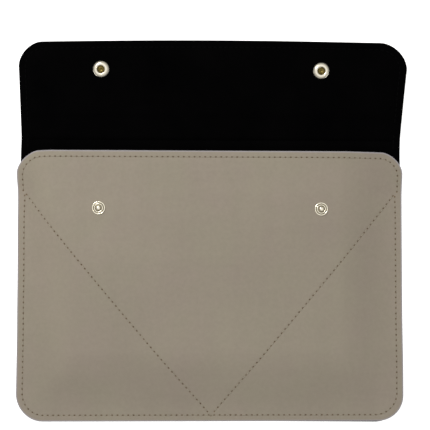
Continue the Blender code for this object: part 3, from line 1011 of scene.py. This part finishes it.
def build_flap():
    """Flap with the second half of the fold strip."""
    outline = closed_rim(flap_outline(), RIM_STEP)
    on_flap, *strip = flap_holes()
    rows = [on_flap] + [ends[ends[:, 1] > SPLIT] for ends in strip]

    def at_split(points):
        return points[:, 1] < SPLIT + 0.01

    cover = make_sheet("flap_leather", outline, cover_inner, LEATHER_THICK, flap_place,
                       [SUEDE, LEATHER, BACK_EDGE], rows=rows, faces_up=False,
                       square=at_split)
    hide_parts("flap_cover", "spine_cover")

    lining = make_sheet("flap_suede", outline * (1.0004, 1.0), flap_lining_top,
                        SUEDE_THICK, flap_place, [SUEDE] * 3, spacing=2.2, rows=rows,
                        square=at_split)
    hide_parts("flap_lining", "spine_lining")
    fold = bend(np.zeros(1), np.array([FOLD_Y + SPINE]), np.array([FOLD_Z]))[0]
    for item in (cover, lining):
        blend_across(item)

    def inside_face(x, u, h):
        return flap_place(x, u, flap_lining_top(x, u) + h)

    def outside_face(x, u, h):
        return flap_place(x, u, COVER_Z - h)

    item = make_thread("flap_inner_stitches", [on_flap], inside_face, BLACK_THREAD, seed=9)
    ride_as(item, "flap", "black_thread", "flap_thread")
    item = make_thread("flap_outer_stitches", [on_flap], outside_face, TAUPE_THREAD,
                       seed=10)
    ride_as(item, "flap", "taupe_thread")
    build_spine_stitches(strip, inside_face, outside_face)


def build_spine_stitches(rows, inside_face, outside_face):
    """Both ends of the fold strip, stitched inside and outside."""
    for label, row in zip(("left", "right"), rows):
        item = make_thread(label + "_fold_stitches", [row], inside_face, BLACK_THREAD)
        ride_as(item, "spine", "black_thread", label + "_spine_thread")
        item = make_thread(label + "_fold_outer_stitches", [row], outside_face,
                           TAUPE_THREAD)
        ride_as(item, "spine", "taupe_thread")


def snap_place(centre, up):
    """Axes of a press stud part, whose own Z points up, in millimetres."""
    up = Vector(up).normalized()
    across = Vector((0, 1, 0)).cross(up).normalized()
    ahead = up.cross(across)
    turn = Matrix((across, ahead, up)).transposed()
    return Matrix.Translation(Vector(centre)) @ turn.to_4x4()


def ridge(radius, top, half, drop, count=11):
    """Flat-topped ridge of a turned profile, from its inner foot to its outer foot."""
    angle = np.radians(np.linspace(180, 0, count))
    return [(radius + half * math.copysign(abs(math.cos(a)) ** 0.8, math.cos(a)),
             top - drop + drop * math.sin(a) ** 0.35) for a in angle]


def build_studs():
    """Studs on the front panel: a post in a dish with two ridges."""
    post = [(0.0, 2.5), (0.7, 2.48), (1.2, 2.40), (1.55, 2.2), (1.76, 1.92), (1.8, 1.66),
            (1.7, 1.42), (1.56, 1.2), (1.5, 0.86), (1.6, 0.5), (1.9, 0.28), (2.8, 0.22)]
    between = [(3.85, 0.2), (4.3, 0.2)]
    foot = [(5.42, 0.3), (5.36, 0.08), (5.2, -0.05), (0.0, -0.05)]
    profile = (post + ridge(3.3, 0.95, 0.44, 0.60) + between
               + ridge(4.92, 0.9, 0.5, 0.62) + foot)
    # Zone 1, the grooves, takes the darker metal with its painted shade.
    zones = [0] * 8 + [1] * 4 + [0] * 10 + [1] * 3 + [0] * 14
    for label, side in (("left", -1), ("right", 1)):
        x, y = np.array([side * SNAP_X]), np.array([STUD_Y])
        place = snap_place((x[0], y[0], front_top(x, y)[0]), (0, 0, 1))
        item = lathe(label + "_stud", profile, place, [NICKEL, SATIN_AND_SHADE], zones)
        ride_as(item, "pocket", "champagne_nickel", label + "_front_snap_stud")


def build_sockets():
    """Sockets with their springs on the inside of the flap, and the caps behind them."""
    ring = [(6.7, -0.05), (6.98, 0.1), (7.08, 0.3), (7.02, 0.6), (6.8, 0.95),
            (6.46, 1.35), (6.02, 1.76), (5.5, 2.12), (4.92, 2.38), (4.36, 2.5),
            (3.85, 2.48), (3.45, 2.34), (3.15, 2.1)]
    well = [(3.02, 1.82), (2.98, 1.5), (3.0, 0.7), (2.9, 0.5), (0.4, 0.46), (0.4, -0.05)]
    zones = [0] * 13 + [1] * 4 + [0] * 2
    for label, side in (("left", -1), ("right", 1)):
        x, u = np.array([side * SNAP_X]), np.array([SOCKET_U[label]])
        base = flap_place(x, u, flap_lining_top(x, u))[0]
        above = flap_place(x, u, flap_lining_top(x, u) + 1.0)[0]
        place = snap_place(base, above - base)
        item = lathe(label + "_socket", ring + well, place, [NICKEL, BRASS], zones)
        ride_as(item, "flap", "champagne_nickel", label + "_flap_snap_socket")
        build_spring(label, place)
        build_cap(label, place, x, u)


def build_spring(label, place):
    """Round wire ring with a gap, sprung inside the socket."""
    steps, sides = 60, 10
    turn = np.linspace(math.radians(18), math.radians(342), steps)
    round_wire = full_turn(sides)
    radius = 2.66 + 0.2 * np.cos(round_wire)
    height = 1.5 + 0.2 * np.sin(round_wire)
    local = np.stack([
        np.cos(turn)[:, None] * radius,
        np.sin(turn)[:, None] * radius,
        np.broadcast_to(height, (steps, sides)),
    ], -1).reshape(-1, 3)
    item = add_mesh(label + "_spring", placed(local, place),
                    tube_faces(0, steps, sides, flip=True), [BRASS])
    ride_as(item, "flap", "dull_brass", label + "_socket_spring")


def build_cap(label, place, x, u):
    """Domed cap on the outside of the flap, with its post clenched in the socket."""
    outer = flap_place(x, u, np.array([COVER_Z]))[0]
    depth = float(Vector(outer - np.array(place.translation)) @ place.to_3x3().col[2])
    tail = depth - 0.02
    dome = [(0.0, tail - 2.0), (1.5, tail - 1.97), (3.0, tail - 1.86), (4.4, tail - 1.66),
            (5.6, tail - 1.36), (6.5, tail - 1.0), (7.05, tail - 0.66), (7.36, tail - 0.36),
            (7.42, tail - 0.16), (7.3, tail), (1.2, tail + 0.02)]
    crimp = [(1.2, 0.5), (1.75, 0.62), (1.95, 0.82), (1.85, 1.02), (1.5, 1.1), (1.05, 1.0),
             (0.75, 0.82), (0.45, 0.74), (0.0, 0.72)]
    zones = [0] * len(dome) + [1] * (len(crimp) - 1)
    item = lathe(label + "_cap", dome + crimp, place, [NICKEL, BRASS], zones)
    ride_as(item, "flap", "champagne_nickel", label + "_flap_snap_cap")


def build_pen_loop():
    """Flat elastic band folded into a loop and sewn down by its two tails."""
    low, high = (np.array(end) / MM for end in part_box("pen_loop"))
    radius = (high[2] - low[2]) / 2
    centre = np.array([high[0] - radius, low[2] + radius])
    wall = 0.7
    turn = np.radians(np.linspace(-88, 252, 60))
    middle = radius - wall / 2
    loop = centre + middle * np.column_stack([np.cos(turn), np.sin(turn)])
    tail = np.linspace(loop[-1][0], low[0] + 0.2, 14)[1:]
    upper = np.column_stack([tail, np.full(len(tail), low[2] + wall * 1.15)])
    path = np.vstack([loop, upper])
    ahead = unit(np.gradient(path, axis=0))
    normal = np.column_stack([-ahead[:, 1], ahead[:, 0]])
    half = wall / 2 * 0.9
    y = np.linspace(low[1], high[1], 26)
    rib = 0.03 * np.cos(np.linspace(0, 26 * math.pi, 26))
    thin = np.full(len(y), half)
    thin[[0, -1]] *= 0.55
    upper_half = np.column_stack([thin + rib, y])
    section = np.vstack([upper_half, upper_half[::-1] * (-1, 1)])
    points = np.stack([
        path[:, None, 0] + normal[:, None, 0] * section[:, 0],
        np.broadcast_to(section[:, 1], (len(path), len(section))),
        path[:, None, 1] + normal[:, None, 1] * section[:, 0],
    ], -1).reshape(-1, 3)
    faces = tube_faces(0, len(path), len(section))
    item = add_mesh("elastic_pen_loop", points, faces, [ELASTIC])
    ride_as(item, "pocket", "elastic", "pen_loop")
    x = low[0] + 2.0
    row = evenly([(x, low[1] + 1.0), (x, high[1] - 1.0)], PITCH / 2)

    def on_tail(px, py, h):
        return np.stack([px, py, low[2] + wall * 1.6 + h], -1)

    item = make_thread("loop_stitches", [row], on_tail, BLACK_THREAD, seed=12)
    ride_as(item, "pocket", "black_thread", "pen_loop_thread")


def dress_frame():
    """Materials of the CAD pieces that stay: two boards and the hidden eyelets."""
    looks = {"stiffener": BOARD, "eyelet": BRASS}
    for name, item in frame["nodes"].items():
        for key, material in looks.items():
            if key in name:
                for slot in item.material_slots:
                    slot.material = material


def build_stage():
    """Pale floor, light from all round that grows towards the zenith, and a key lamp."""
    mesh = bpy.data.meshes.new("floor")
    corners = [(-1, -1), (1, -1), (1, 1), (-1, 1)]
    mesh.from_pydata([(x * FLOOR_HALF, y * FLOOR_HALF, FLOOR_Z) for x, y in corners], [],
                     [(0, 1, 2, 3)])
    mesh.materials.append(floor_material())
    floor = bpy.data.objects.new("floor", mesh)
    bpy.context.scene.collection.objects.link(floor)

    world = bpy.data.worlds.new("studio")
    bpy.context.scene.world = world
    n = Nodes(world, "Generated")
    height = n.add("SeparateXYZ", {0: n.coords}).outputs["Z"]
    light = n.span(n.math("MULTIPLY", height, height), 0.0, 1.0, HORIZON_LIGHT, ZENITH_LIGHT)
    seen = n.add("LightPath").outputs["Is Camera Ray"]
    background = n.tree.nodes["Background"]
    n.give(background.inputs["Strength"], n.math("MAXIMUM", light, seen))
    n.give(background.inputs["Color"], rgba(1.0, 1.0, 1.0))

    key = bpy.data.lights.new("key", "AREA")
    key.shape = "DISK"
    key.size = KEY_SIZE
    key.energy = KEY_ENERGY
    key.color = (1.0, 0.985, 0.96)
    lamp = bpy.data.objects.new("key", key)
    lamp.location = KEY_PLACE
    aim = Vector(KEY_AIM) - Vector(KEY_PLACE)
    lamp.rotation_euler = aim.to_track_quat("-Z", "Y").to_euler()
    bpy.context.scene.collection.objects.link(lamp)
    bpy.context.scene.view_settings.view_transform = "Standard"


def build_camera():
    data = bpy.data.cameras.new("camera")
    data.sensor_width = 36.0
    data.lens = CAMERA_LENS
    data.clip_end = 20.0
    camera = bpy.data.objects.new("camera", data)
    turn = (Euler((CAMERA_TILT, 0, 0)).to_matrix() @ Euler((0, 0, CAMERA_ROLL)).to_matrix())
    camera.matrix_world = Matrix.Translation(CAMERA_PLACE) @ turn.to_4x4()
    bpy.context.scene.collection.objects.link(camera)
    bpy.context.scene.camera = camera


build_camera()
build_stage()
dress_frame()
build_back()
build_front()
build_flap()
build_studs()
build_sockets()
build_pen_loop()
